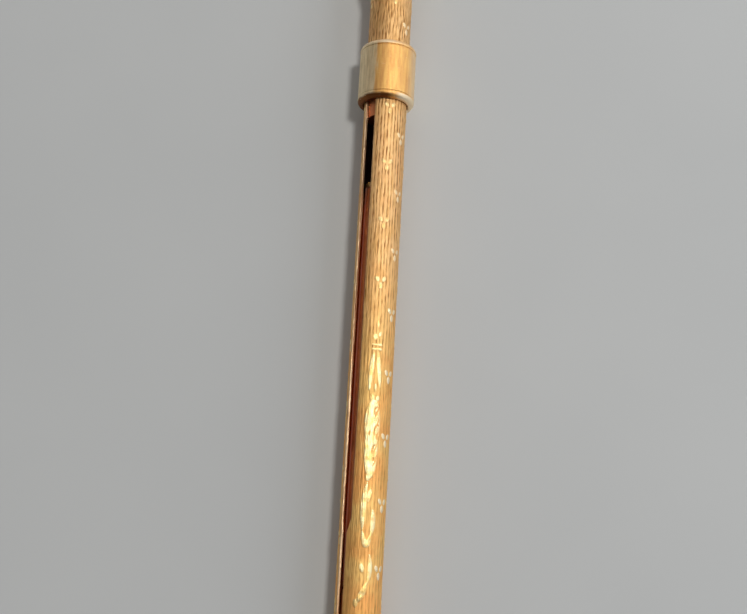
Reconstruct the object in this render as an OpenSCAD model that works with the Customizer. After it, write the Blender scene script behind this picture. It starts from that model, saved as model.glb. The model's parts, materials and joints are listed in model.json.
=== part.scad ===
// Slide pencil: a lead holder whose inner pencil is pushed out of a slotted barrel by a sliding ring.
// It lies along Y with its mouth towards -Y, and its origin is on the axis at the face of the mouth.
// Every part is drawn upright first, with its height measured from that face towards the crown.

/* [Barrel] */
// Outside diameter of the engine-turned barrel
barrel_d = 6; // [5.9:0.05:6.2]
// Thickness of the barrel wall
barrel_wall = 0.4; // [0.3:0.05:0.4]
// Height of the barrel's crown end above the mouth
barrel_len = 104; // [104:1:112]
// Length of the plain ferrule on the mouth
ferrule_len = 5; // [4:0.5:7]

/* [Slot] */
// Turn of the slot from straight up towards the left
slot_angle = 52; // [0:1:90]
// Width of the slot's lower stretch, which guides the slide key
slot_w = 1.1; // [1:0.05:1.2]
// Extra width of the upper stretch on the side that faces up
slot_relief_up = 0.6; // [0:0.05:0.7]
// Extra width of the upper stretch on the side that faces down
slot_relief_down = 0.15; // [0:0.05:0.3]
// Height at which the slot widens
slot_step = 28.5; // [24:0.5:40]

/* [Slide] */
// Outside diameter of the slide ring
ring_d = 8; // [7.8:0.1:8.6]
// Length of the slide ring
ring_len = 8.7; // [7.6:0.1:8.8]
// Height of the ring's lower edge with the pencil drawn in
ring_low = 86; // [85:0.5:86]
// Width of the key that joins the ring to the pencil
key_w = 0.9; // [0.7:0.05:0.9]
// How far the ring pushes the pencil out
travel = 74; // [60:1:75]

/* [Pencil] */
// Outside diameter of the carrier tube
carrier_d = 4.3; // [4.2:0.05:4.3]
// Diameter of the lead
lead_d = 1.1; // [0.9:0.05:1.1]
// Advance of the lead for each turn of the nozzle
spiral_pitch = 3; // [3:0.1:3.1]
// Number of serrations on the nozzle's grip
grip_teeth = 36; // [24:2:40]

/* [Crown] */
// Outside diameter of the crown cap
cap_d = 6.8; // [6.7:0.1:7.2]
// Diameter of the bail, at the middle of its wire
bail_d = 5; // [4.8:0.1:6]
// Diameter of the bail's wire
bail_wire = 0.8; // [0.6:0.05:0.85]
// How far the bail hangs down from straight out
bail_droop = 50; // [0:5:60]

/* [Hidden] */
$fn = 96;

// Gaps: between soldered or pressed pieces, between running pieces, and the overrun of a cut
seat = 0.03;
run = 0.07;
over = 0.5;

// Barrel and mouth
barrel_r = barrel_d / 2;
bore_r = barrel_r - barrel_wall;
carrier_r = carrier_d / 2;
lip = 0.6;
ferrule_wall = 0.17;
ferrule_r = barrel_r + seat + ferrule_wall;
mouth_r = carrier_r + 2 * run;
bush_top = 6;

// Slide: the key stands in the slot, and the slot's lower end stops it
ring_wall = 0.44;
ring_lip = 0.45;
ring_r = ring_d / 2;
ring_top = ring_low + ring_len;
ring_hole_r = barrel_r + run + 0.05;
sleeve_r = ring_r - ring_wall - seat;
key_low = ring_low + 1;
key_len = 4.2;
key_root = 1.9;
pin_r = 0.25;
slot_low = key_low - travel - 0.2;
slot_high = key_low + key_len + 0.4;
slot_ramp = 2;
saddle_r = bore_r - run;
saddle_low = ring_low - 2.2;
saddle_top = ring_low + 7;
spring_w = 1;
spring_t = 0.12;
spring_len = 6.4;
spring_foot = 1.95;

// Carrier and the turning mechanism inside it
carrier_wall = 0.23;
carrier_low = 20.6;
carrier_top = 73.5;
carrier_bore = carrier_r - carrier_wall;
tail_r = 1.3;
tail_wall = 0.35;
tail_low = 70;
tail_top = saddle_top + 0.2;
plug_low = 69.5;
flange = 0.6;
coil_low = 27;
coil_turns = 13;
coil_w = 2;
coil_depth = 0.38;
coil_steps = 24;
coil_top = coil_low + coil_turns * spiral_pitch;
drive_r = 1.25;
drive_wall = 0.23;
driver_r = drive_r - drive_wall - 0.05;
driver_pin_r = 0.4;
driver_low = coil_top - 3.4;
pin_height = coil_low + (coil_turns - 0.5) * spiral_pitch;
feed = 18;

// Nozzle
lead_r = lead_d / 2;
guide_r = lead_r + run;
guide_wall = 0.2;
nozzle_tip = 0.8;
nozzle_tip_r = 0.98;
nozzle_r = carrier_r - 0.1;
cone_top = 12;
grip_low = 13.5;
seat_r = 1.7;
nozzle_top = 19.8;
neck_r = 1.3;
spigot_r = drive_r - drive_wall - seat;
collar_low = 24.5;
spigot_top = 28;
sleeve_top = 6.2;
lead_low = 0.2;
lead_len = 36.8;

// Crown
socket_r = barrel_r + 0.25;
nipple_r = 2.7;
nipple_top = barrel_len + 5;
socket_bore = 1.9;
magazine_r = socket_bore - 0.05;
magazine_wall = 0.3;
magazine_low = tail_top + 1.3;
cap_r = cap_d / 2;
cap_low = barrel_len + 1 + 0.05;
cap_shoulder = barrel_len + 6;
dome_top = cap_shoulder + cap_r - 0.2;
roof = nipple_top + 1.6;
post_r = 0.6;
eye_r = 1.25;
eye_len = 1.4;
eye_height = dome_top + 0.45 + eye_r;
bail_r = bail_d / 2;
wire_r = bail_wire / 2;

// Lays an upright piece along Y, with its top towards the crown.
module lay() {
    rotate([-90, 0, 0])
        children();
}

// Turns an upright piece so that its +X side faces out through the slot.
module at_slot() {
    rotate([0, 0, -90 - slot_angle])
        children();
}

module disc(r, low, high) {
    translate([0, 0, low])
        cylinder(r = r, h = high - low);
}

module tube(outer, inner, low, high) {
    difference() {
        disc(outer, low, high);
        disc(inner, low - over, high + over);
    }
}

module cone(r_low, r_high, low, high) {
    translate([0, 0, low])
        cylinder(r1 = r_low, r2 = r_high, h = high - low);
}

// A band with rounded outer edges, open along its middle.
module rounded_band(outer, inner, low, high, edge) {
    rotate_extrude()
        difference() {
            union() {
                translate([0, low + edge])
                    square([outer, high - low - 2 * edge]);
                translate([0, low])
                    square([outer - edge, high - low]);
                for (y = [low + edge, high - edge])
                    translate([outer - edge, y])
                        circle(r = edge, $fn = 32);
            }
            translate([-over, low - over])
                square([inner + over, high - low + 2 * over]);
        }
}

// A block that stands out through the slot: its reach from the axis, its width and its height.
module radial_block(from, to, left, right, low, high) {
    at_slot()
        translate([from, -right, low])
            cube([to - from, right + left, high - low]);
}

// The slot as a plate: narrow below, and wider above the step.
module slot_cut() {
    down = slot_w / 2;
    at_slot()
        rotate([90, 0, 90])
            linear_extrude(height = barrel_d)
                polygon([
                    [-down, slot_low],
                    [down, slot_low],
                    [down, slot_step - slot_ramp],
                    [down + slot_relief_up, slot_step],
                    [down + slot_relief_up, slot_high],
                    [-down - slot_relief_down, slot_high],
                    [-down - slot_relief_down, slot_step],
                    [-down, slot_step - slot_ramp]
                ]);
}

module barrel() {
    color("goldenrod")
        lay()
            difference() {
                tube(barrel_r, bore_r, lip, barrel_len);
                slot_cut();
            }
}

module mouth_ferrule() {
    color("gold")
        lay()
            difference() {
                tube(ferrule_r, mouth_r, 0, ferrule_len);
                disc(barrel_r + seat, lip, ferrule_len + over);
            }
}

module mouth_bush() {
    color("peru")
        lay()
            tube(bore_r - seat, carrier_r + run, lip, bush_top);
}

module crown_socket() {
    color("gold")
        lay()
            difference() {
                union() {
                    disc(bore_r - seat, barrel_len - 6, barrel_len + over);
                    rounded_band(socket_r, 1, barrel_len, barrel_len + 1, 0.2);
                    disc(nipple_r, barrel_len + 1 - over, nipple_top);
                }
                disc(socket_bore, barrel_len - 7, nipple_top + over);
            }
}

module magazine_tube() {
    color("peru")
        lay()
            difference() {
                union() {
                    disc(magazine_r, magazine_low, nipple_top + over / 2);
                    disc(nipple_r - 0.2, nipple_top, nipple_top + 0.4);
                }
                disc(magazine_r - magazine_wall, magazine_low + 0.4, nipple_top + over);
            }
}

module spare_leads() {
    color("dimgray")
        lay()
            for (turn = [0, 120, 240])
                rotate([0, 0, turn])
                    translate([lead_r * 1.2, 0, magazine_low + 0.5])
                        cylinder(r = lead_r, h = nipple_top - magazine_low - 1.2);
}

module crown_cap() {
    color("gold")
        lay()
            difference() {
                union() {
                    disc(cap_r, cap_low, cap_shoulder);
                    intersection() {
                        translate([0, 0, cap_shoulder])
                            sphere(r = cap_r);
                        disc(cap_r + over, cap_shoulder, dome_top);
                    }
                    rounded_band(cap_r + 0.12, 1, cap_low, cap_low + 0.9, 0.3);
                }
                disc(nipple_r + 0.05, cap_low - over, roof);
                disc(post_r + seat, roof - over, dome_top + over);
            }
}

module cap_pad() {
    color("saddlebrown")
        lay()
            disc(nipple_r - 0.1, nipple_top + 0.45, nipple_top + 0.95);
}

module bail_post() {
    color("gold")
        lay()
            difference() {
                union() {
                    disc(1.3, roof - 0.58, roof);
                    disc(post_r, roof - 0.1, eye_height);
                    rounded_band(1.1, 0.1, dome_top, dome_top + 0.4, 0.15);
                    translate([-eye_len / 2, 0, eye_height])
                        rotate([0, 90, 0])
                            cylinder(r = eye_r, h = eye_len);
                }
                translate([-eye_len, 0, eye_height])
                    rotate([0, 90, 0])
                        cylinder(r = wire_r + 0.15, h = 2 * eye_len);
            }
}

module bail_ring() {
    color("gold")
        lay()
            translate([0, 0, eye_height])
                rotate([-bail_droop, 0, 0])
                    translate([0, 0, bail_r])
                        rotate([90, 0, 0])
                            rotate_extrude()
                                translate([bail_r, 0])
                                    circle(r = wire_r, $fn = 32);
}

module slide_ring() {
    color("khaki")
        lay()
            difference() {
                rounded_band(ring_r, ring_hole_r, ring_low, ring_top, 0.4);
                disc(ring_r - ring_wall, ring_low + ring_lip, ring_top - ring_lip);
            }
}

module ring_sleeve() {
    color("peru")
        lay()
            difference() {
                tube(sleeve_r, barrel_r + run, ring_low + ring_lip + seat, ring_top - ring_lip - seat);
                radial_block(barrel_r, ring_r, key_w / 2 + seat, key_w / 2 + seat, ring_low, ring_top);
            }
}

// Two rivets run through the key into the saddle.
module key_pins_at(r, from, to) {
    for (height = [key_low + 1, key_low + key_len - 1])
        at_slot()
            translate([from, 0, height])
                rotate([0, 90, 0])
                    cylinder(r = r, h = to - from, $fn = 48);
}

module slide_key() {
    color("sienna")
        lay()
            difference() {
                radial_block(key_root, sleeve_r, key_w / 2, key_w / 2, key_low, key_low + key_len);
                key_pins_at(pin_r + seat, 0, barrel_d);
            }
}

module key_pins() {
    color("silver")
        lay()
            key_pins_at(pin_r, tail_r + 0.15, sleeve_r);
}

// The groove for the friction spring is opposite the key.
module key_saddle() {
    color("chocolate")
        lay()
            difference() {
                tube(saddle_r, tail_r + seat, saddle_low, saddle_top);
                radial_block(key_root - seat, barrel_d, key_w / 2 + seat, key_w / 2 + seat,
                    key_low - seat, key_low + key_len + seat);
                key_pins_at(pin_r + seat, tail_r + 0.1, barrel_r);
                rotate([0, 0, 180])
                    radial_block(spring_foot - seat, barrel_d, spring_w / 2 + run, spring_w / 2 + run,
                        ring_low - 0.7, ring_low + 6.4);
            }
}

// A bowed leaf: its feet stand in the saddle's groove and its back rubs on the bore.
module friction_spring() {
    rise = bore_r - seat - spring_foot - spring_t;
    half = spring_len / 2;
    bow_r = (half * half + rise * rise) / (2 * rise);
    middle = ring_low + 2.85;
    color("silver")
        lay()
            rotate([0, 0, 180])
                at_slot()
                    rotate([90, 0, 0])
                        translate([0, 0, -spring_w / 2])
                            linear_extrude(height = spring_w)
                                intersection() {
                                    translate([spring_foot + rise - bow_r, middle])
                                        difference() {
                                            circle(r = bow_r + spring_t, $fn = 200);
                                            circle(r = bow_r, $fn = 200);
                                        }
                                    translate([spring_foot, middle - half])
                                        square([rise + 2 * spring_t, spring_len]);
                                }
}

module carrier_tail() {
    color("chocolate")
        lay()
            tube(tail_r, tail_r - tail_wall, tail_low, tail_top);
}

module carrier_plug() {
    color("peru")
        lay()
            difference() {
                union() {
                    disc(carrier_bore - seat, plug_low, carrier_top);
                    disc(carrier_r, carrier_top, carrier_top + flange);
                }
                disc(tail_r + seat, tail_low, carrier_top + flange + over);
                disc(tail_r - tail_wall, plug_low - over, tail_low + over);
            }
}

module carrier_tube() {
    color("chocolate")
        lay()
            tube(carrier_r, carrier_bore, carrier_low, carrier_top);
}

// A ribbon wound as a right-handed thread, as a list of square sections.
function ribbon_section(step, low, width, inner, outer) =
    let (turn = 360 * step / coil_steps, height = low + spiral_pitch * step / coil_steps)
    [for (corner = [[inner, -1], [outer, -1], [outer, 1], [inner, 1]])
        [corner[0] * cos(turn), corner[0] * sin(turn), height + corner[1] * width / 2]];

module spiral_coil() {
    last = coil_turns * coil_steps;
    outer = carrier_bore - seat;
    points = [for (step = [0:last]) each ribbon_section(step, coil_low, coil_w, outer - coil_depth, outer)];
    sides = [for (step = [0:last - 1]) for (k = [0:3])
        [4 * step + k, 4 * step + 4 + k, 4 * step + 4 + (k + 1) % 4, 4 * step + (k + 1) % 4]];
    color("silver")
        lay()
            polyhedron(points, concat(sides, [[0, 1, 2, 3], [for (k = [3:-1:0]) 4 * last + k]]), convexity = 20);
}

module spiral_collar() {
    color("peru")
        lay()
            tube(carrier_bore - seat, drive_r + run, coil_top + 1.1, plug_low - 0.4);
}

module nozzle_bush() {
    color("gold")
        lay()
            difference() {
                union() {
                    disc(carrier_r, carrier_low - flange, carrier_low);
                    disc(carrier_bore - seat, carrier_low - over / 2, collar_low - 0.1);
                }
                disc(neck_r + 0.05, carrier_low - 2 * flange, collar_low + over);
            }
}

module nozzle() {
    color("gold")
        lay()
            difference() {
                union() {
                    cone(nozzle_tip_r, nozzle_r, nozzle_tip, cone_top);
                    disc(nozzle_r, cone_top, grip_low);
                    disc(seat_r, grip_low - over, nozzle_top);
                    disc(neck_r, nozzle_top - over, collar_low - seat);
                    disc(spigot_r, collar_low - over, spigot_top);
                }
                disc(guide_r + guide_wall + seat, sleeve_top, spigot_top + over);
                disc(guide_r + 0.15 + seat, nozzle_tip - over, sleeve_top + over);
            }
}

// The grip is a ring with straight serrations.
module nozzle_grip() {
    outer = carrier_r;
    depth = 0.12;
    color("gold")
        lay()
            difference() {
                translate([0, 0, grip_low + 0.1])
                    linear_extrude(height = nozzle_top - grip_low - 0.2)
                        polygon([for (k = [0:2 * grip_teeth - 1])
                            let (turn = 180 * k / grip_teeth, r = outer - depth * (k % 2))
                            [r * cos(turn), r * sin(turn)]]);
                disc(seat_r + seat, grip_low - over, nozzle_top + over);
            }
}

module lead_sleeve() {
    color("silver")
        lay()
            tube(guide_r + 0.15, guide_r - 0.02, lead_low + 0.2, sleeve_top - 0.1);
}

module lead_guide() {
    color("silver")
        lay()
            tube(guide_r + guide_wall, guide_r, sleeve_top + 0.05, spigot_top - 0.1);
}

// The driver's pin runs along one slot, which is open at the upper end.
module drive_tube() {
    groove = driver_pin_r + 0.05;
    color("peru")
        lay()
            difference() {
                tube(drive_r, drive_r - drive_wall, collar_low + 1.1, coil_top + 1);
                translate([0, -groove, pin_height - feed - 1])
                    cube([drive_r + over, 2 * groove, feed + coil_top - pin_height + 1 + 2 * over]);
            }
}

module nozzle_collar() {
    color("peru")
        lay()
            tube(carrier_bore - 0.15, spigot_r + seat, collar_low, collar_low + 1);
}

module pusher_rod() {
    color("silver")
        lay()
            disc(lead_r - 0.05, lead_low + lead_len + 0.05, pin_height - driver_pin_r - 0.1);
}

module driver_pin_at(r, from, to) {
    translate([from, 0, pin_height])
        rotate([0, 90, 0])
            cylinder(r = r, h = to - from, $fn = 48);
}

module driver() {
    color("peru")
        lay()
            difference() {
                disc(driver_r, driver_low, coil_top + 0.6);
                disc(lead_r - 0.05 + seat, driver_low - over, pin_height);
                driver_pin_at(driver_pin_r + seat, 0, drive_r);
            }
}

module driver_pin() {
    color("silver")
        lay()
            driver_pin_at(driver_pin_r, seat, carrier_bore - 0.12);
}

module lead() {
    point = 0.9;
    color("dimgray")
        lay()
            union() {
                cone(lead_r * 0.4, lead_r, lead_low, lead_low + point);
                disc(lead_r, lead_low + point, lead_low + lead_len);
            }
}

barrel();
mouth_ferrule();
mouth_bush();
crown_socket();
magazine_tube();
spare_leads();
crown_cap();
cap_pad();
bail_post();
bail_ring();
slide_ring();
ring_sleeve();
slide_key();
key_pins();
key_saddle();
friction_spring();
carrier_tail();
carrier_plug();
carrier_tube();
spiral_coil();
spiral_collar();
nozzle_bush();
nozzle();
nozzle_grip();
lead_sleeve();
lead_guide();
drive_tube();
nozzle_collar();
pusher_rod();
driver();
driver_pin();
lead();
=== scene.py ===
"""Looks of the slide pencil: an engine-turned gold barrel with a slot, a slide ring and the pencil inside.

The object lies along Y with its mouth towards -Y. Shapes are worked out in millimetres, by station (the
distance from the mouth along the barrel) and by angle (from straight up, towards +X), and made in metres.
"""
import json
import math

import bmesh
import bpy
import numpy as np
from mathutils import Matrix, Vector


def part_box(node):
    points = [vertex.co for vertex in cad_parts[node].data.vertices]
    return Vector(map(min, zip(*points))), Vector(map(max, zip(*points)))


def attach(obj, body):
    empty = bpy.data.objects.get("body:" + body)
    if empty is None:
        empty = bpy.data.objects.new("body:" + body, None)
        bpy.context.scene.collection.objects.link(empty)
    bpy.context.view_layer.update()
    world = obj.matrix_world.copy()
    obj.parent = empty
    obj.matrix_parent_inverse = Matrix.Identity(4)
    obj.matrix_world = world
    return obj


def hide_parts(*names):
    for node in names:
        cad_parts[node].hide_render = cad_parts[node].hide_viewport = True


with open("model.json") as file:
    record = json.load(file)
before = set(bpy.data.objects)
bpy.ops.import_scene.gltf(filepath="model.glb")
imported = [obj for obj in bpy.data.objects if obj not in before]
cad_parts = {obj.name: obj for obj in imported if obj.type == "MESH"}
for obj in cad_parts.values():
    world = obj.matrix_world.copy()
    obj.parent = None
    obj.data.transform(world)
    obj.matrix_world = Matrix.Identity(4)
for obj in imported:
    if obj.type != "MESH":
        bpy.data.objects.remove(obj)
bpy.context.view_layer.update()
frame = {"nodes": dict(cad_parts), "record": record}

MM = 0.001
TAU = 2 * math.pi


# ---------------------------------------------------------------- places read from the frame

def stations(node):
    """The lowest and highest station of a node, in millimetres."""
    low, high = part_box(node)
    return low.y / MM, high.y / MM


def radius(node):
    """Half of a round node's width, in millimetres."""
    low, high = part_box(node)
    return (high.x - low.x) / 2 / MM


BARREL_R = radius("barrel")
BARREL_LOW, BARREL_HIGH = stations("barrel")
RING_R = radius("slide_ring")
RING_LOW, RING_HIGH = stations("slide_ring")
FERRULE_R = radius("mouth_ferrule")
FERRULE_LOW, FERRULE_HIGH = stations("mouth_ferrule")


# ---------------------------------------------------------------- camera

CAMERA_DISTANCE = 0.149
CAMERA_STATION = 56.8 * MM
CAMERA_TILT = math.radians(13.5)
CAMERA_SHIFT = -0.11 * MM
CAMERA_ROLL = math.radians(3.2)
CAMERA_LENS = 53.0


def make_camera():
    """Looks down on the barrel from a little towards the mouth, rolled so that the crown leans right."""
    across = Vector((1, 0, 0))
    along = Vector((0, math.cos(CAMERA_TILT), math.sin(CAMERA_TILT)))
    back = across.cross(along)
    right = across * math.cos(CAMERA_ROLL) + along * math.sin(CAMERA_ROLL)
    up = along * math.cos(CAMERA_ROLL) - across * math.sin(CAMERA_ROLL)
    place = Vector((CAMERA_SHIFT, CAMERA_STATION, 0)) + back * CAMERA_DISTANCE
    turn = Matrix((right, up, back)).transposed().to_4x4()
    data = bpy.data.cameras.new("camera")
    data.lens = CAMERA_LENS
    data.sensor_width = 36.0
    data.clip_start = 0.005
    camera = bpy.data.objects.new("camera", data)
    bpy.context.scene.collection.objects.link(camera)
    camera.matrix_world = Matrix.Translation(place) @ turn
    bpy.context.scene.camera = camera


make_camera()


# ---------------------------------------------------------------- mesh helpers

def mesh_object(name, points, faces):
    """A smooth-shaded mesh from points in millimetres and lists of corner numbers."""
    mesh = bpy.data.meshes.new(name)
    counts = np.array([len(f) for f in faces], np.int32)
    starts = np.concatenate([[0], np.cumsum(counts)[:-1]]).astype(np.int32)
    corners = np.concatenate([np.asarray(f, np.int32) for f in faces])
    return fill_mesh(mesh, name, points, corners, starts, counts)


def fill_mesh(mesh, name, points, corners, starts, counts):
    """Fills a mesh from points in millimetres and the corners of its faces, one face after another."""
    mesh.vertices.add(len(points))
    mesh.vertices.foreach_set("co", (np.asarray(points, np.float64) * MM).astype(np.float32).ravel())
    mesh.loops.add(len(corners))
    mesh.loops.foreach_set("vertex_index", corners.astype(np.int32))
    mesh.polygons.add(len(counts))
    mesh.polygons.foreach_set("loop_start", starts)
    mesh.polygons.foreach_set("loop_total", counts)
    mesh.polygons.foreach_set("use_smooth", np.ones(len(counts), bool))
    mesh.update()
    mesh.validate()
    obj = bpy.data.objects.new(name, mesh)
    bpy.context.scene.collection.objects.link(obj)
    return obj


def quad_mesh(name, points, quads, triangles=None):
    """The same, from arrays of four-cornered and three-cornered faces."""
    triangles = np.zeros((0, 3), np.int32) if triangles is None else np.asarray(triangles, np.int32)
    quads = np.asarray(quads, np.int32).reshape(-1, 4)
    corners = np.concatenate([quads.ravel(), triangles.ravel()])
    counts = np.concatenate([np.full(len(quads), 4), np.full(len(triangles), 3)]).astype(np.int32)
    starts = np.concatenate([[0], np.cumsum(counts)[:-1]]).astype(np.int32)
    return fill_mesh(bpy.data.meshes.new(name), name, points, corners, starts, counts)


def add_value(obj, name, values):
    """A number at each point, which a material reads by its name."""
    layer = obj.data.attributes.new(name, "FLOAT", "POINT")
    layer.data.foreach_set("value", np.asarray(values, np.float32))


def on_barrel(angle, r, station):
    """Points at an angle from straight up towards +X, a distance from the axis and a station."""
    return np.stack(np.broadcast_arrays(r * np.sin(angle), station, r * np.cos(angle)), axis=-1)


def filleted(corners, steps=5):
    """A closed outline of (radius, station, fillet) corners, with each fillet drawn as an arc."""
    outline = []
    n = len(corners)
    for i in range(n):
        r, s, fillet = corners[i]
        here = Vector((r, s))
        if fillet <= 0:
            outline.append(here)
            continue
        before = (Vector(corners[i - 1][:2]) - here).normalized()
        after = (Vector(corners[(i + 1) % n][:2]) - here).normalized()
        half = before.angle(after) / 2
        reach = fillet / math.tan(half)
        centre = here + (before + after).normalized() * (fillet / math.sin(half))
        start = here + before * reach - centre
        end = here + after * reach - centre
        sweep = start.angle_signed(end)
        for k in range(steps + 1):
            turn = -sweep * k / steps
            outline.append(centre + Matrix.Rotation(turn, 2) @ start)
    return np.array([tuple(p) for p in outline])


def lathe(name, outline, sides=128, relief=None, closed=True):
    """Turns an outline of (radius, station) points about the barrel's axis.

    relief(angle, radius, station) adds to the radius. An open outline ends on the axis or at a rim."""
    outline = np.asarray(outline, float)
    angle = np.arange(sides) * TAU / sides
    r = np.repeat(outline[:, :1], sides, axis=1)
    s = np.repeat(outline[:, 1:], sides, axis=1)
    a = np.repeat(angle[None, :], len(outline), axis=0)
    if relief is not None:
        r = r + relief(a, r, s)
    points = on_barrel(a, r, s).reshape(-1, 3)
    rows = len(outline) if closed else len(outline) - 1
    i = np.arange(rows)[:, None]
    j = np.arange(sides)[None, :]
    after = (i + 1) % len(outline)
    beside = (j + 1) % sides
    quads = np.stack([i * sides + j, after * sides + j, after * sides + beside, i * sides + beside], axis=-1)
    obj = quad_mesh(name, points, quads.reshape(-1, 4))
    weld(obj)
    return obj


def weld(obj):
    """Joins the points that lie together, such as those on the axis, and turns every face outwards."""
    made = bmesh.new()
    made.from_mesh(obj.data)
    bmesh.ops.remove_doubles(made, verts=made.verts, dist=1e-7)
    bmesh.ops.recalc_face_normals(made, faces=made.faces)
    made.to_mesh(obj.data)
    made.free()
    shade_evenly(obj)


def shade_evenly(obj):
    """Lets the broad faces lead the shading, so that narrow fillets look round."""
    even = obj.modifiers.new("even_shading", "WEIGHTED_NORMAL")
    even.keep_sharp = True


def smooth_noise(seed, x, y, cell):
    """Gentle noise from -1 to 1 with features about cell wide, the same on every run."""
    total = np.zeros(np.broadcast(x, y).shape)
    draw = np.random.default_rng(seed)
    for _ in range(7):
        turn = draw.uniform(0, TAU)
        size = draw.uniform(0.6, 1.6) / cell
        phase = draw.uniform(0, TAU)
        total = total + np.sin(TAU * size * (x * math.cos(turn) + y * math.sin(turn)) + phase)
    return total / 4


# ---------------------------------------------------------------- engine turning and engraving

FRONT = math.radians(12.5)
MOTIF_COLUMNS = 9
SLOT_COLUMN = -1
MOTIF_PITCH = 8.37
MOTIF_TOP = RING_LOW - 1.3
LINES = 38
LINE_DEPTH = 0.024
PETAL_RISE = 0.060
SCROLL_TOP = 54.5
SCROLL_LOW = 17.2
LINES_WORN_FROM = 42.0
LINES_WORN_OVER = 38.0


def dome(x, y, centre, size, turn):
    """A round-topped petal: 1 at its middle and 0 at its edge and beyond."""
    dx = x - centre[0]
    dy = y - centre[1]
    along = dx * math.sin(turn) + dy * math.cos(turn)
    across = dx * math.cos(turn) - dy * math.sin(turn)
    return np.clip(1 - (across / size[0]) ** 2 - (along / size[1]) ** 2, 0, 1)


def trefoil(x, y):
    """Two petals on the crown side and one towards the mouth."""
    petals = [
        dome(x, y, (-0.46, 0.44), (0.31, 0.44), -0.55),
        dome(x, y, (0.46, 0.44), (0.31, 0.44), 0.55),
        dome(x, y, (0.0, -0.50), (0.31, 0.52), 0.0),
    ]
    return np.max(petals, axis=0)


def stroke(x, y, start, bend, end, width, taper=0.75):
    """A curved engraved stroke from start to end, bulging towards bend, fullest in its middle."""
    best = np.zeros(np.broadcast(x, y).shape)
    steps = 22
    for k in range(1, steps):
        t = k / steps
        px = (1 - t) ** 2 * start[0] + 2 * t * (1 - t) * bend[0] + t * t * end[0]
        py = (1 - t) ** 2 * start[1] + 2 * t * (1 - t) * bend[1] + t * t * end[1]
        w = width * math.sin(math.pi * t) ** taper
        best = np.maximum(best, 1 - ((x - px) ** 2 + (y - py) ** 2) / (w * w))
    return np.clip(best, 0, 1)


def bar(x, y, station, half_width, thickness):
    """A short bar across the front, rounded over its thickness."""
    across = np.clip(1 - (x / half_width) ** 8, 0, 1)
    return across * np.clip(1 - ((y - station) / thickness) ** 2, 0, 1)


def scrollwork(x, y):
    """The long ornament on the front: a crest, two hanging leaves, a veined panel and two long scrolls."""
    shapes = [
        0.5 * dome(x, y, (-0.30, 52.1), (0.42, 0.52), 0.0),
        0.5 * dome(x, y, (0.36, 52.5), (0.26, 0.46), 0.5),
        0.4 * dome(x, y, (0.05, 53.9), (0.20, 0.70), 0.0),
        0.4 * bar(x, y, 51.05, 0.75, 0.19),
        0.4 * bar(x, y, 50.45, 0.75, 0.19),
        stroke(x, y, (-0.34, 50.2), (-0.62, 47.8), (-0.74, 44.8), 0.36, 0.5),
        0.4 * stroke(x, y, (0.22, 50.2), (0.45, 48.0), (0.72, 45.2), 0.38, 0.5),
        dome(x, y, (0.10, 45.3), (0.22, 0.60), 0.0),
        dome(x, y, (-0.25, 44.0), (0.36, 0.50), 0.1),
        dome(x, y, (0.45, 43.9), (0.26, 0.40), 0.2),
        veined_panel(x, y, 40.6, 3.1, 1.16) * (1 - punched(x, y)),
        veined_panel(x, y, 37.2, 3.6, 1.0) * (1 - punched(x, y)),
        0.8 * dome(x, y, (-0.30, 33.6), (0.32, 0.44), 0.0),
        0.7 * stroke(x, y, (-0.25, 33.2), (-0.85, 30.6), (-0.60, 26.4), 0.42),
        0.9 * stroke(x, y, (-0.66, 27.2), (-0.10, 23.6), (0.55, 26.8), 0.46),
        0.7 * stroke(x, y, (0.48, 26.2), (0.95, 28.2), (0.55, 29.8), 0.40),
        0.6 * dome(x, y, (0.05, 31.4), (0.34, 1.00), 0.2),
        0.7 * stroke(x, y, (0.45, 24.2), (0.95, 22.2), (0.30, 20.2), 0.36),
        0.9 * stroke(x, y, (0.40, 20.8), (-0.20, 19.0), (-0.90, 18.2), 0.42),
        dome(x, y, (-1.00, 18.1), (0.34, 0.52), 0.0),
        0.6 * dome(x, y, (-0.45, 22.4), (0.32, 0.70), -0.3),
    ]
    return np.max(shapes, axis=0)


def punched(x, y):
    """Small hollows punched into the panel, and the curls cut round them."""
    marks = [
        dome(x, y, (0.42, 41.9), (0.20, 0.34), 0.2),
        dome(x, y, (0.66, 38.9), (0.18, 0.42), -0.2),
        dome(x, y, (0.30, 36.0), (0.20, 0.30), 0.3),
        dome(x, y, (-0.42, 39.4), (0.13, 0.40), 0.1),
        stroke(x, y, (0.80, 42.6), (0.10, 43.2), (0.05, 41.4), 0.14, 0.4),
        stroke(x, y, (0.90, 40.4), (0.20, 40.6), (0.30, 39.0), 0.14, 0.4),
        stroke(x, y, (0.75, 37.8), (0.10, 38.2), (0.05, 36.6), 0.14, 0.4),
    ]
    return np.clip(2 * np.max(marks, axis=0), 0, 1)


def veined_panel(x, y, middle, half_length, half_width):
    """A leaf-shaped panel, fuller on its left, with a midrib and slanting veins cut into it."""
    along = np.clip(1 - ((y - middle) / half_length) ** 2, 1e-6, 1)
    panel = np.clip(1 - (np.abs(x) / (half_width * np.sqrt(along))) ** 2, 0, 1)
    panel = np.where(np.abs(y - middle) < half_length, panel, 0) ** 0.6
    top, low = middle + half_length, middle - half_length
    veins = [stroke(x, y, (0.20, top - 0.3), (0.32, middle), (0.10, low + 0.8), 0.12, 0.4)]
    for k in range(int(half_length)):
        root = top - 1.5 - 1.7 * k
        veins.append(stroke(x, y, (0.20, root - 0.9), (0.50, root - 0.4), (0.85, root + 0.9), 0.13, 0.4))
    fullness = 0.4 + 0.6 * np.clip(0.5 - x / 1.2, 0, 1)
    return fullness * panel * (1 - 0.9 * np.max(veins, axis=0))


def wrapped(angle):
    """An angle brought within half a turn of zero."""
    return (angle + math.pi) % TAU - math.pi


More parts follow.
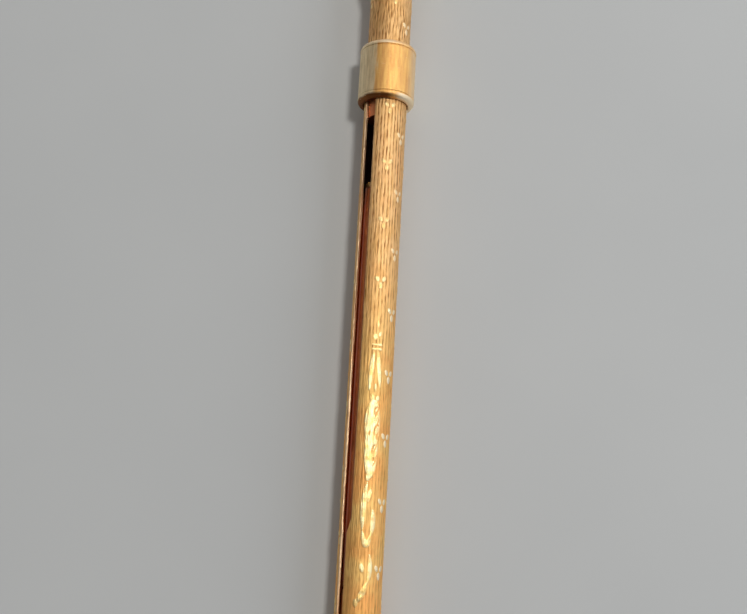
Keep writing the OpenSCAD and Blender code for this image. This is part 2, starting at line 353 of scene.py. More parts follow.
def engraving(angle, station):
    """How far each point of the barrel lies in a petal or scroll, from 0 outside to 1 at its top.

    Columns of motifs run along the barrel, with every other one set half a pitch lower. The column
    on the slot is left out, and the one at the front makes room for the scroll."""
    column = np.round(wrapped(angle - FRONT) / (TAU / MOTIF_COLUMNS))
    x = BARREL_R * (wrapped(angle - FRONT) - column * TAU / MOTIF_COLUMNS)
    offset = (np.abs(column) % 2) * MOTIF_PITCH / 2
    row = np.round((MOTIF_TOP - offset - station) / MOTIF_PITCH)
    y = station - (MOTIF_TOP - offset - row * MOTIF_PITCH)
    shapes = trefoil(x, y)
    beside_slot = column == SLOT_COLUMN
    behind_scroll = (column == 0) & (station < SCROLL_TOP + 1.5) & (station > SCROLL_LOW - 1.5)
    shapes[beside_slot | behind_scroll] = 0
    x_front = BARREL_R * wrapped(angle - FRONT)
    near = (np.abs(x_front) < 1.6) & (station < SCROLL_TOP + 1) & (station > SCROLL_LOW - 1)
    shapes[near] = np.maximum(shapes[near], scrollwork(x_front[near], station[near]))
    return shapes


def engine_lines(angle, station):
    """The lengthwise lines, from 0 on a ridge to 1 in the bottom of a groove.

    They waver and fade by turns, and are more worn towards the mouth."""
    arc = angle * BARREL_R
    above = np.clip((station - RING_HIGH + 1) / 2, 0, 1)
    sway = (0.5 + 1.2 * above) * np.sin(TAU * station / 6.3 + 1.5 * np.sin(3 * angle))
    drift = 0.9 * smooth_noise(3, arc, station * 0.30, 1.4) + 0.5 * smooth_noise(4, arc, station * 0.5, 0.5)
    first = 0.5 + 0.5 * np.cos(LINES * angle + sway + drift)
    second = 0.5 + 0.5 * np.cos(LINES * angle - sway + drift + 0.4)
    strength = 0.80 + 0.50 * smooth_noise(5, arc, station * 0.35, 0.6)
    worn = 0.45 + 0.55 * np.clip((station - LINES_WORN_FROM) / LINES_WORN_OVER, 0, 1) + 0.25 * above
    lines = (0.65 * first ** 3 + 0.45 * second ** 3) * np.clip(strength, 0.1, 1.3) * worn
    return np.clip(lines, 0, 1)


# ---------------------------------------------------------------- the barrel

SLOT_ANGLE = math.radians(-52)
SLOT_HALF = 0.55
SLOT_RELIEF_UP = 0.6
SLOT_RELIEF_DOWN = 0.15
SLOT_LOW = 12.8
SLOT_HIGH = RING_LOW + 5.6
SLOT_STEP = 28.5
SLOT_RAMP = 2.0
BORE_R = BARREL_R - 0.4
ROW_STEP = 0.125
METAL_COLUMNS = 300
SLOT_COLUMNS = 20
INNER_SHARE = 10
CUT_DEPTHS = (0.27, 0.33, 0.37)
EDGE_STEPS = (0.0, 0.01, 0.03, 0.06, 0.10, 0.15, 0.20, 0.25)
WORN_FILLET = 0.24
CRISP_FILLET = 0.08
THUMBED_BELOW = 66.0
THUMBED_OVER = 22.0
THUMBED_LEAST = 0.4
SURFACE_INSET = 0.02
CONTOUR_DEPTH = 0.14
FACET_SWING = 0.22
DENT_DEPTH = 0.012
EDGE_WEAR = 0.020
# Painted shade: beyond this station the bore is painted nearly black, over the next few millimetres.
PAINTED_SHADE_FROM = 71.0
PAINTED_SHADE_OVER = 3.0


def slot_sides(station, r):
    """The angles from the slot's middle line to its edges, on its upper and lower side, at radius r."""
    widened = np.clip((station - SLOT_STEP + SLOT_RAMP) / SLOT_RAMP, 0, 1)
    up = np.arcsin((SLOT_HALF + SLOT_RELIEF_UP * widened) / r)
    down = np.arcsin((SLOT_HALF + SLOT_RELIEF_DOWN * widened) / r)
    return up, down


def slotted_ring(station, r, metal, slot):
    """The angles of one ring of points: round the metal from the slot's upper edge, then across the slot."""
    up, down = slot_sides(station, r)
    near_edge = np.array(EDGE_STEPS) / (TAU * BARREL_R)
    between = np.linspace(near_edge[-1], 1 - near_edge[-1], metal + 3 - 2 * len(EDGE_STEPS))[1:-1]
    round_metal = np.concatenate([near_edge, between, 1 - near_edge[::-1]])[None, :]
    across_slot = np.linspace(0, 1, slot + 1)[None, 1:-1]
    start = SLOT_ANGLE + up[:, None]
    end = SLOT_ANGLE + TAU - down[:, None]
    over_metal = start + (end - start) * round_metal
    over_slot = end + (up + down)[:, None] * across_slot
    return np.concatenate([over_metal, over_slot], axis=1)


def stitched(loop_a, angle_a, loop_b, angle_b):
    """Triangles between two rows of points that run the same way, each given with its angles."""
    triangles = []
    i = j = 0
    while i < len(loop_a) - 1 or j < len(loop_b) - 1:
        step_a = j == len(loop_b) - 1 or (i < len(loop_a) - 1 and angle_a[i + 1] <= angle_b[j + 1])
        if step_a:
            triangles.append((loop_a[i], loop_a[i + 1], loop_b[j]))
            i += 1
        else:
            triangles.append((loop_a[i], loop_b[j + 1], loop_b[j]))
            j += 1
    return triangles


def rounded_off(distance, fillet):
    """How far a rounded edge lies below the sharp one, at a distance from it along the surface."""
    inward = np.clip(fillet - distance, 0, fillet)
    return fillet - np.sqrt(fillet * fillet - inward * inward)


def barrel_rows():
    """Stations of the rings of points: fine along the barrel, with one at each end of the slot."""
    edges = [BARREL_LOW, SLOT_LOW, SLOT_STEP - SLOT_RAMP, SLOT_STEP, SLOT_HIGH, BARREL_HIGH]
    rows = []
    for low, high in zip(edges[:-1], edges[1:]):
        count = max(1, round((high - low) / ROW_STEP))
        rows += [low + (high - low) * k / count for k in range(count)]
    return np.array(rows + [BARREL_HIGH])


def make_barrel():
    """The slotted barrel: an engraved outer wall, a plain bore, the slot's cut faces and two end rings.

    Each ring of points runs round the metal first and then across the slot, whose faces are left out
    between its two end rows. Attributes tell the material where the grooves, petals and edges are."""
    rows = barrel_rows()
    n = len(rows)
    low_row = int(np.argmin(np.abs(rows - SLOT_LOW)))
    high_row = int(np.argmin(np.abs(rows - SLOT_HIGH)))
    angle = slotted_ring(rows, BARREL_R, METAL_COLUMNS, SLOT_COLUMNS)
    station = np.repeat(rows[:, None], angle.shape[1], axis=1)
    up, down = slot_sides(rows, BARREL_R)

    in_slot = np.clip(np.minimum(station - SLOT_LOW, SLOT_HIGH - station) / 0.05 + 1, 0, 1)
    to_up = BARREL_R * np.abs(wrapped(angle - SLOT_ANGLE - up[:, None]))
    to_down = BARREL_R * np.abs(wrapped(angle - SLOT_ANGLE + down[:, None]))
    handled = np.clip((THUMBED_BELOW - station) / THUMBED_OVER, THUMBED_LEAST, 1)
    thumbed = CRISP_FILLET + (WORN_FILLET - CRISP_FILLET) * handled
    crisp_edge = np.exp(-(to_up / 0.06) ** 2)
    thumbed_edge = np.clip(1.6 - to_down / (0.75 * thumbed), 0, 1)
    edge = in_slot * np.maximum(crisp_edge, thumbed_edge)
    rounding = in_slot * (rounded_off(to_up, CRISP_FILLET) + rounded_off(to_down, thumbed))
    shapes = engraving(angle, station)
    lines = engine_lines(angle, station)
    carved = np.clip(shapes * 3, 0, 1)
    fade_high = np.clip((BARREL_HIGH - 1.2 - station) / 0.5, 0, 1)
    fade_low = np.clip((station - FERRULE_HIGH - 0.6) / 0.5, 0, 1)
    fade = fade_high * fade_low
    contour = np.clip(1 - np.abs(shapes - 0.07) / 0.07, 0, 1) * fade
    groove = np.maximum(lines * (1 - carved) * (1 - edge) * fade, CONTOUR_DEPTH * contour)
    facets = 1 + FACET_SWING * smooth_noise(12, angle * BARREL_R, station, 1.0)
    dents = DENT_DEPTH * smooth_noise(8, angle * BARREL_R, station, 6.0)
    worn_edge = edge * EDGE_WEAR * (1 + smooth_noise(9, angle * 0, station, 1.4))
    relief = PETAL_RISE * np.sqrt(shapes) * facets * fade * (1 - edge)
    depth = -LINE_DEPTH * groove + relief - rounding - worn_edge + dents * (1 - edge)
    outer = on_barrel(angle, BARREL_R - SURFACE_INSET + depth, station)

    inner_metal = METAL_COLUMNS // INNER_SHARE
    inner_slot = SLOT_COLUMNS // INNER_SHARE
    inner_angle = slotted_ring(rows, BORE_R, inner_metal, inner_slot)
    inner_station = np.repeat(rows[:, None], inner_angle.shape[1], axis=1)
    inner = on_barrel(inner_angle, BORE_R, inner_station)

    cut_rows = np.arange(low_row, high_row + 1)
    cut_points = []
    for depth_in in CUT_DEPTHS:
        up_in, down_in = slot_sides(rows[cut_rows], BARREL_R - depth_in)
        cut_points.append(on_barrel(SLOT_ANGLE + up_in, BARREL_R - depth_in, rows[cut_rows]))
        cut_points.append(on_barrel(SLOT_ANGLE - down_in, BARREL_R - depth_in, rows[cut_rows]))

    wide, narrow = angle.shape[1], inner_angle.shape[1]
    base = n * wide
    cut_base = base + n * narrow

    def out(i, c):
        return i * wide + c % wide

    def inn(i, c):
        return base + i * narrow + c % narrow

    def walls(number, columns, metal, flip):
        i, c = np.meshgrid(np.arange(n - 1), np.arange(columns), indexing="ij")
        keep = ~((c >= metal) & (i >= low_row) & (i < high_row))
        i, c = i[keep], c[keep]
        ring = [number(i, c), number(i, c + 1), number(i + 1, c + 1), number(i + 1, c)]
        return np.stack(ring[::-1] if flip else ring, axis=-1)

    quads = [walls(out, wide, METAL_COLUMNS, True), walls(inn, narrow, inner_metal, False)]
    for side, far, near in ((0, 0, 0), (1, METAL_COLUMNS, inner_metal)):
        lines_in = [out(cut_rows, far)]
        for k in range(len(CUT_DEPTHS)):
            lines_in.append(cut_base + (2 * k + side) * len(cut_rows) + cut_rows - low_row)
        lines_in.append(inn(cut_rows, near))
        for a, b in zip(lines_in[:-1], lines_in[1:]):
            strip = [a[:-1], a[1:], b[1:], b[:-1]]
            quads.append(np.stack(strip if side == 0 else strip[::-1], axis=-1))
    triangles = []
    for row in (0, n - 1):
        a = [out(row, c) for c in range(wide + 1)]
        b = [inn(row, c) for c in range(narrow + 1)]
        angle_a = np.append(angle[row], angle[row, 0] + TAU)
        angle_b = np.append(inner_angle[row], inner_angle[row, 0] + TAU)
        triangles += stitched(a, angle_a - angle_a[0], b, angle_b - angle_b[0])
    for row in (low_row, high_row):
        a = [out(row, c) for c in range(METAL_COLUMNS, wide + 1)]
        b = [inn(row, c) for c in range(inner_metal, narrow + 1)]
        share_a = np.linspace(0, 1, len(a))
        share_b = np.linspace(0, 1, len(b))
        triangles += stitched(a, share_a, b, share_b)

    points = np.concatenate([outer.reshape(-1, 3), inner.reshape(-1, 3), *cut_points])
    quads = np.concatenate(quads)
    triangles = np.array(triangles)
    used = np.unique(np.concatenate([quads.ravel(), triangles.ravel()]))
    renumber = np.full(len(points), -1)
    renumber[used] = np.arange(len(used))
    obj = quad_mesh("barrel_engraved", points[used], renumber[quads], renumber[triangles])

    def on_all(outside, inside, cut):
        cut_size = 2 * len(CUT_DEPTHS) * len(cut_rows)
        values = [np.ravel(outside), np.full(inner_angle.size, inside), np.full(cut_size, cut)]
        return np.concatenate(values)[used]

    add_value(obj, "groove", on_all(groove, 0.35, 0.0))
    add_value(obj, "carved", on_all(np.clip(shapes * 3 - 0.3, 0, 1) * fade, 0.0, 0.0))
    add_value(obj, "edge", on_all(edge, 0.0, 1.0))
    add_value(obj, "inside", on_all(np.zeros(angle.shape), 1.0, 0.0))
    # Painted shade: marks where the bore is painted nearly black towards the crown.
    add_value(obj, "painted_shade_in_bore", np.clip((points[used][:, 1] - PAINTED_SHADE_FROM) / PAINTED_SHADE_OVER, 0, 1))
    return obj


# ---------------------------------------------------------------- materials

def new_material(name):
    """A new material, its node tree and its shader."""
    made = bpy.data.materials.new(name)
    made.use_nodes = True
    tree = made.node_tree
    return made, tree, tree.nodes["Principled BSDF"]


class Nodes:
    """Short names for the nodes that the materials share."""

    def __init__(self, tree):
        self.tree = tree

    def add(self, kind, **settings):
        node = self.tree.nodes.new(kind)
        for key, value in settings.items():
            setattr(node, key, value)
        return node

    def link(self, a, b):
        self.tree.links.new(a, b)

    def place(self, stretch=(1, 1, 1)):
        """The piece's own coordinates in millimetres, stretched along X, Y and Z."""
        coordinates = self.add("ShaderNodeTexCoord")
        scale = self.add("ShaderNodeMapping")
        scale.inputs["Scale"].default_value = [k / MM for k in stretch]
        self.link(coordinates.outputs["Object"], scale.inputs["Vector"])
        return scale.outputs["Vector"]

    def noise(self, place, scale, detail=4.0, rough=0.55):
        node = self.add("ShaderNodeTexNoise")
        node.inputs["Scale"].default_value = scale
        node.inputs["Detail"].default_value = detail
        node.inputs["Roughness"].default_value = rough
        self.link(place, node.inputs["Vector"])
        return node.outputs["Fac"]

    def ramp(self, value, stops):
        """Maps a number to a colour or a grey, through stops of (place, colour)."""
        node = self.add("ShaderNodeValToRGB")
        ramp = node.color_ramp
        while len(ramp.elements) < len(stops):
            ramp.elements.new(0.5)
        for element, (at, colour) in zip(ramp.elements, stops):
            element.position = at
            element.color = (*colour, 1) if isinstance(colour, tuple) else (colour, colour, colour, 1)
        self.link(value, node.inputs["Fac"])
        return node.outputs["Color"]

    def mix(self, factor, a, b, mode="MIX"):
        node = self.add("ShaderNodeMix", data_type="RGBA", blend_type=mode)
        for value, socket in ((factor, node.inputs[0]), (a, node.inputs[6]), (b, node.inputs[7])):
            if hasattr(value, "is_linked"):
                self.link(value, socket)
            elif isinstance(value, tuple):
                socket.default_value = (*value, 1)
            else:
                socket.default_value = value
        return node.outputs[2]

    def maths(self, operation, a, b, c=0.0):
        node = self.add("ShaderNodeMath", operation=operation)
        for value, socket in zip((a, b, c), node.inputs):
            if hasattr(value, "is_linked"):
                self.link(value, socket)
            else:
                socket.default_value = value
        return node.outputs[0]

    def value(self, name):
        return self.add("ShaderNodeAttribute", attribute_name=name).outputs["Fac"]

    def bump(self, height, distance, strength=1.0):
        node = self.add("ShaderNodeBump")
        node.inputs["Distance"].default_value = distance * MM
        node.inputs["Strength"].default_value = strength
        self.link(height, node.inputs["Height"])
        return node.outputs["Normal"]


def engraved_gold():
    """The barrel's gold: paler towards the crown, dark in its grooves with dirt and painted shade, a painted
    glint on petals and scrolls, worn pale on its edges, and painted shade in its bore towards the crown.
    """
    made, tree, shader = new_material("engraved_gold")
    n = Nodes(tree)
    place = n.place()
    lengthwise = n.place((1, 0.10, 1))
    groove, carved, edge, inside = n.value("groove"), n.value("carved"), n.value("edge"), n.value("inside")
    patches = n.noise(place, 0.22, 5)
    pale_stops = [(0.32, (0.90, 0.57, 0.25)), (0.52, (0.96, 0.65, 0.32)), (0.70, (0.88, 0.53, 0.25))]
    rich_stops = [(0.38, (0.97, 0.52, 0.18)), (0.50, (1.0, 0.61, 0.22)), (0.60, (1.0, 0.68, 0.26))]
    pale = n.ramp(patches, pale_stops)
    rich = n.ramp(patches, rich_stops)
    axes = n.add("ShaderNodeSeparateXYZ")
    n.link(n.place((0.01, 0.01, 0.01)), axes.inputs[0])
    gold = n.mix(n.ramp(axes.outputs["Y"], [(0.46, 0.0), (0.66, 1.0)]), rich, pale)
    streaks = n.noise(lengthwise, 3.0, 4)
    gold = n.mix(n.ramp(streaks, [(0.50, 0.0), (0.66, 0.6)]), gold, (0.70, 0.40, 0.13))
    # Grooves and contours are painted dark brown as dirt and painted shade in them, less dark in patches.
    groove_dirt_and_shade_patches = n.ramp(n.noise(lengthwise, 1.3, 3), [(0.35, 0.45), (0.62, 0.95)])
    depth = n.maths("MULTIPLY", n.ramp(groove, [(0.10, 0.0), (0.80, 1.0)]), groove_dirt_and_shade_patches)
    colour = n.mix(depth, gold, (0.36, 0.15, 0.035))
    # Painted highlight: petals and scrolls get a pale cream colour that stands in for their glints.
    painted_glint = n.ramp(n.noise(place, 0.9, 4), [(0.40, (0.98, 0.68, 0.26)), (0.60, (1.0, 0.88, 0.50))])
    # The painted glint is weaker towards the crown.
    painted_glint_by_station = n.ramp(axes.outputs["Y"], [(0.54, 1.0), (0.62, 0.40)])
    carved = n.maths("MULTIPLY", carved, painted_glint_by_station)
    # Painted highlight: on the barrel's right side the painted glint is paler still.
    painted_glint = n.mix(n.ramp(axes.outputs["X"], [(0.013, 0.0), (0.022, 1.0)]), painted_glint, (1.0, 0.85, 0.60))
    colour = n.mix(n.ramp(carved, [(0.1, 0.0), (0.5, 1.0)]), colour, painted_glint)
    worn = n.ramp(n.noise(lengthwise, 2.2, 4), [(0.36, (0.80, 0.48, 0.26)), (0.52, (1.0, 0.74, 0.48))])
    colour = n.mix(n.ramp(edge, [(0.15, 0.0), (0.75, 1.0)]), colour, worn)
    # Painted shade: the bore's copper turns nearly black towards the crown.
    bore = n.mix(n.value("painted_shade_in_bore"), (0.80, 0.26, 0.08), (0.05, 0.02, 0.01))
    colour = n.mix(inside, colour, bore)
    n.link(colour, shader.inputs["Base Color"])
    n.link(n.ramp(inside, [(0.0, 1.0), (1.0, 0.15)]), shader.inputs["Metallic"])
    grain = n.noise(lengthwise, 9.0, 3)
    rough = n.mix(groove, n.ramp(grain, [(0.3, 0.54), (0.7, 0.64)]), (0.70, 0.70, 0.70))
    rough = n.mix(carved, rough, (0.44, 0.44, 0.44))
    rough = n.mix(edge, rough, (0.48, 0.48, 0.48))
    n.link(rough, shader.inputs["Roughness"])
    scratches = n.noise(n.place((1, 0.06, 1)), 7.0, 2)
    n.link(n.bump(scratches, 0.07), shader.inputs["Normal"])
    return made


def plain_gold(name, light, dark, rough, grain=(1, 1, 1), metallic=1.0):
    """Plain gold, brass or copper with tarnish patches and fine handling scratches."""
    made, tree, shader = new_material(name)
    n = Nodes(tree)
    place = n.place()
    patches = n.noise(place, 0.35, 5)
    colour = n.ramp(patches, [(0.32, dark), (0.62, light)])
    n.link(colour, shader.inputs["Base Color"])
    shader.inputs["Metallic"].default_value = metallic
    fine = n.noise(n.place(grain), 6.0, 5)
    n.link(n.ramp(fine, [(0.3, rough * 0.8), (0.7, rough * 1.35)]), shader.inputs["Roughness"])
    n.link(n.bump(fine, 0.006), shader.inputs["Normal"])
    return made


def worn_gilt():
    """The ring's satin gilt: rich on top and on its right as a painted highlight, paler and greyer on its far
    left as a painted reflection, with painted cream highlights on its beads and painted shade on its lower
    bead.
    """
    made, tree, shader = new_material("worn_gilt")
    n = Nodes(tree)
    place = n.place()
    axes = n.add("ShaderNodeSeparateXYZ")
    n.link(place, axes.inputs[0])
    # Painted light: rich gold over most of the ring as a painted highlight, and paler grey-gold on its far
    # left as a painted reflection of the dim room, with a ragged border.
    ragged = n.maths("MULTIPLY", n.noise(n.place((1, 0.15, 1)), 1.6, 4), 1.6)
    side = n.maths("ADD", axes.outputs["X"], ragged)
    painted_highlight = n.ramp(n.maths("MULTIPLY_ADD", side, 0.125, 0.15), [(0.0, 0.0), (0.03, 0.0), (0.08, 1.0)])
    streaks = n.noise(n.place((1, 0.12, 1)), 2.5, 4)
    bright = n.ramp(streaks, [(0.36, (0.80, 0.44, 0.16)), (0.62, (0.97, 0.62, 0.22))])
    painted_grey_reflection = n.ramp(streaks, [(0.36, (0.76, 0.62, 0.39)), (0.62, (1.0, 0.85, 0.58))])
    colour = n.mix(painted_highlight, painted_grey_reflection, bright)
    # Painted highlight: pale cream on the beads and the right flank.
    colour = n.mix(n.value("painted_highlight"), colour, (1.0, 0.84, 0.60))
    # Painted shade: dark brown on the lower bead.
    colour = n.mix(n.value("painted_shade_on_bead"), colour, (0.26, 0.10, 0.03))
    nicks = n.noise(n.place((0.35, 2.6, 0.35)), 2.2, 5, 0.65)
    colour = n.mix(n.ramp(nicks, [(0.63, 0.0), (0.69, 0.8)]), colour, (1.0, 0.78, 0.54))
    n.link(colour, shader.inputs["Base Color"])
    shader.inputs["Metallic"].default_value = 1.0
    n.link(n.ramp(n.noise(place, 3.0, 4), [(0.35, 0.50), (0.65, 0.60)]), shader.inputs["Roughness"])
    n.link(n.bump(nicks, 0.02), shader.inputs["Normal"])
    return made


def copper_brown():
    """Old brown copper, with a matt pink painted reflection along the slot and painted shade where the slot's
    edge shades it.
    """
    made, tree, shader = new_material("copper_brown")
    n = Nodes(tree)
    fine = n.noise(n.place((1, 0.15, 1)), 6.0, 5)
    patches = n.noise(n.place((1, 0.4, 1)), 0.5, 5)
    colour = n.ramp(patches, [(0.34, (0.74, 0.23, 0.09)), (0.62, (0.96, 0.40, 0.18))])
    # Painted shade: darker where the slot's edge shades the tube.
    colour = n.mix(n.maths("MULTIPLY", n.value("shaded"), 0.5), colour, (0.16, 0.04, 0.015))
    # Painted reflection: a matt pale pink line where the lit lip would be reflected.
    pink_painted_reflection = n.ramp(patches, [(0.36, (0.90, 0.55, 0.40)), (0.60, (1.0, 0.74, 0.60))])
    n.link(n.mix(n.value("painted_highlight"), colour, pink_painted_reflection), shader.inputs["Base Color"])
    n.link(n.ramp(n.value("painted_highlight"), [(0.0, 0.85), (1.0, 0.10)]), shader.inputs["Metallic"])
    n.link(n.ramp(fine, [(0.3, 0.32), (0.7, 0.48)]), shader.inputs["Roughness"])
    n.link(n.bump(fine, 0.006), shader.inputs["Normal"])
    return made


def graphite():
    """Dark grey lead with a faint lengthwise grain."""
    made, tree, shader = new_material("graphite")
    n = Nodes(tree)
    grain = n.noise(n.place((1, 0.3, 1)), 9.0, 5)
    colour = n.ramp(grain, [(0.3, (0.035, 0.035, 0.038)), (0.7, (0.09, 0.09, 0.095))])
    n.link(colour, shader.inputs["Base Color"])
    n.link(n.ramp(grain, [(0.3, 0.42), (0.7, 0.62)]), shader.inputs["Roughness"])
    shader.inputs["Metallic"].default_value = 0.35
    n.link(n.bump(grain, 0.01), shader.inputs["Normal"])
    return made


def leather():
    """Matt brown leather with a fine grain."""
    made, tree, shader = new_material("leather")
    n = Nodes(tree)
    grain = n.noise(n.place(), 5.0, 6, 0.7)
    colour = n.ramp(grain, [(0.3, (0.16, 0.08, 0.035)), (0.7, (0.34, 0.19, 0.09))])
    n.link(colour, shader.inputs["Base Color"])
    n.link(n.ramp(grain, [(0.3, 0.7), (0.7, 0.9)]), shader.inputs["Roughness"])
    n.link(n.bump(grain, 0.05), shader.inputs["Normal"])
    return made


ENGRAVED = engraved_gold()
POLISHED = plain_gold("polished_gold", (0.96, 0.68, 0.29), (0.84, 0.54, 0.20), 0.36)
WORN_GILT = worn_gilt()
BRASS = plain_gold("bare_brass", (0.62, 0.42, 0.18), (0.42, 0.27, 0.11), 0.38)
STEEL = plain_gold("spring_steel", (0.62, 0.61, 0.58), (0.45, 0.43, 0.40), 0.28)
COPPER = copper_brown()
GRAPHITE = graphite()
LEATHER = leather()
BY_SLOT = {
    "engine_turned_gold": ENGRAVED, "polished_gold": POLISHED, "worn_gilt": WORN_GILT, "bare_brass": BRASS,
    "copper_brown": COPPER, "spring_steel": STEEL, "graphite": GRAPHITE, "leather_pad": LEATHER,
}
SLOT_OF = {part["node"]: part["material_slot"] for part in frame["record"]["subparts"]}
BODY_OF = {n: body for body, nodes in frame["record"]["behaviour"]["bodies"].items() for n in nodes}


def dress(piece, node):
    """Puts a detailed piece in the place of a CAD node, on its body and with its material."""
    piece.data.materials.clear()
    piece.data.materials.append(BY_SLOT[SLOT_OF[node]])
    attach(piece, BODY_OF[node])
    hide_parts(node)
    return piece


# ---------------------------------------------------------------- turned pieces

def make_slide_ring():
    """A satin band with a rolled bead and a fine groove at each end, turned in close to the barrel."""
    hole = BARREL_R + 0.14
    bead = 0.78
    groove = 0.10
    inside = RING_R - 0.44
    corners = [
        (hole, RING_LOW, 0.08),
        (RING_R, RING_LOW, 0.66),
        (RING_R, RING_LOW + bead, 0.08),
        (RING_R - groove, RING_LOW + bead + 0.03, 0.02),
        (RING_R - groove, RING_LOW + bead + 0.12, 0.02),
        (RING_R - 0.03, RING_LOW + bead + 0.20, 0.05),
        (RING_R - 0.03, RING_HIGH - bead - 0.20, 0.05),
        (RING_R - groove, RING_HIGH - bead - 0.12, 0.02),
        (RING_R - groove, RING_HIGH - bead - 0.03, 0.02),
        (RING_R, RING_HIGH - bead, 0.08),
        (RING_R, RING_HIGH, 0.66),
        (hole, RING_HIGH, 0.08),
        (hole, RING_HIGH - 0.45, 0.0),
        (inside, RING_HIGH - 0.45, 0.0),
        (inside, RING_LOW + 0.45, 0.0),
        (hole, RING_LOW + 0.45, 0.0),
    ]
    ring = lathe("slide_ring_band", filleted(corners, 9), 192)
    place = np.array([v.co for v in ring.data.vertices]) / MM
    reach = np.hypot(place[:, 0], place[:, 2])
    angle = np.arctan2(place[:, 0], place[:, 2])
    # Painted shade: dark brown on the lower end near the hole, on the left and middle, with a ragged edge.
    ragged = 0.10 * smooth_noise(15, place[:, 0], place[:, 2], 2.2)
    end = np.clip((RING_LOW + 0.62 + ragged - place[:, 1]) / 0.25, 0, 1)
    add_value(ring, "painted_shade_on_bead", end * np.clip((0.30 - angle) / 0.25, 0, 1) * (reach > hole - 0.1))
    # Painted highlight: pale cream on the lower bead's right, on the top bead towards the top, and on the
    # right flank.
    bead_low = np.clip((RING_LOW + 0.75 - place[:, 1]) / 0.1, 0, 1) * np.clip((angle - 0.30) / 0.25, 0, 1)
    towards_top = 0.25 + 0.75 * np.exp(-((angle + 0.1) / 0.4) ** 2)
    bead_high = np.clip((place[:, 1] - RING_HIGH + 0.75) / 0.1, 0, 1) * towards_top
    flank = 0.6 * np.clip((angle - 0.75) / 0.4, 0, 1) * (angle < 2.6)
    add_value(ring, "painted_highlight", np.clip(np.maximum(np.maximum(bead_low, bead_high), flank), 0, 1))
    return dress(ring, "slide_ring")


def groove_at(r, station, depth=0.08, width=0.14):
    """The corners of a fine turned groove in a surface of radius r."""
    half = width / 2
    return [
        (r, station - half - 0.04, 0.02), (r - depth, station - half + 0.02, 0.015),
        (r - depth, station + half - 0.02, 0.015), (r, station + half + 0.04, 0.02),
    ]


def make_mouth_ferrule():
    """A plain ferrule with a softened mouth and a fine groove near each end."""
    mouth = 2.29
    inside = BARREL_R + 0.03
    corners = [
        (mouth, FERRULE_LOW, 0.12), (FERRULE_R, FERRULE_LOW, 0.32),
        *groove_at(FERRULE_R, 1.0), *groove_at(FERRULE_R, 4.1),
        (FERRULE_R, FERRULE_HIGH, 0.14), (inside, FERRULE_HIGH, 0), (inside, 0.6, 0), (mouth, 0.6, 0),
    ]
    dress(lathe("ferrule_turned", filleted(corners), 160), "mouth_ferrule")


def make_crown_socket():
    """A rounded flange and a nipple with two friction grooves."""
    low, high = stations("crown_socket")
    flange = radius("crown_socket")
    bore, body, nipple = 1.9, BORE_R - 0.03, 2.7
    corners = [
        (bore, low, 0), (body, low, 0.1), (body, BARREL_HIGH, 0), (flange, BARREL_HIGH, 0.2),
        (flange, BARREL_HIGH + 1, 0.2), (nipple, BARREL_HIGH + 1, 0),
        *groove_at(nipple, BARREL_HIGH + 2.4), *groove_at(nipple, BARREL_HIGH + 3.8),
        (nipple, high, 0.25), (bore, high, 0.05),
    ]
    dress(lathe("socket_turned", filleted(corners), 128), "crown_socket")


CAP_FLUTES = 60


def flutes(angle, r, station):
    """Fine straight flutes round the cap's grip band."""
    low, _ = stations("crown_cap")
    in_band = (station > low + 1.40) & (station < low + 4.25) & (r > 3.3)
    return -0.10 * in_band * (0.5 - 0.5 * np.cos(CAP_FLUTES * angle))


def make_crown_cap():
    """A domed cap with a beaded lip, a fluted band for the fingers and a turned ring under its dome."""
    low, high = stations("crown_cap")
    body, lip_r = 3.4, radius("crown_cap")
    shoulder = low + 4.95
    roof = low + 5.55
    corners = [
        (2.75, low, 0.1), (lip_r, low, 0.3), (lip_r, low + 0.9, 0.3), (body - 0.08, low + 0.98, 0.03),
        (body - 0.08, low + 1.10, 0.03), (body, low + 1.20, 0.03), (body, low + 1.38, 0),
        (body, low + 1.50, 0), (body, low + 4.15, 0), (body, low + 4.27, 0),
        *groove_at(body, low + 4.50, 0.09),
    ]
    outline = [tuple(p) for p in filleted(corners + [(body, shoulder, 0), (2.75, roof, 0)])[:-1]]
    steps = 24
    top = math.asin(min(1.0, (high - shoulder) / body))
    for k in range(1, steps + 1):
        rise = top * k / steps
        outline.append((body * math.cos(rise), shoulder + body * math.sin(rise)))
    outline += [(0.63, high), (0.63, roof), (2.75, roof)]
    dress(lathe("cap_turned", outline, 480, flutes), "crown_cap")


def joined(name, objects):
    """One object out of several."""
    made = bmesh.new()
    for obj in objects:
        made.from_mesh(obj.data)
        bpy.data.objects.remove(obj)
    mesh = bpy.data.meshes.new(name)
    made.to_mesh(mesh)
    made.free()
    whole = bpy.data.objects.new(name, mesh)
    bpy.context.scene.collection.objects.link(whole)
    shade_evenly(whole)
    return whole


def make_bail_post():
    """A riveted post with a collar on the dome and a rounded eye across its top."""
    low, high = stations("bail_post")
    eye_r, hole, half = 1.25, 0.55, 0.7
    _, dome_top = stations("crown_cap")
    post = lathe("post", filleted([
        (0, low, 0), (1.3, low, 0.15), (1.3, low + 0.58, 0), (0.6, low + 0.58, 0), (0.6, dome_top, 0),
        (1.1, dome_top, 0), (1.1, dome_top + 0.4, 0.22), (0.62, dome_top + 0.42, 0.05),
        (0.55, high - 2 * eye_r + 0.4, 0), (0, high - 2 * eye_r + 0.4, 0),
    ]), 64, closed=False)
    eye_outline = [(hole, -half, 0.2), (eye_r, -half, 0.42), (eye_r, half, 0.42), (hole, half, 0.2)]
    eye = lathe("eye", filleted(eye_outline), 64)
    for vertex in eye.data.vertices:
        x, y, z = vertex.co
        vertex.co = (y, x + (high - eye_r) * MM, z)
    dress(joined("post_and_eye", [post, eye]), "bail_post")


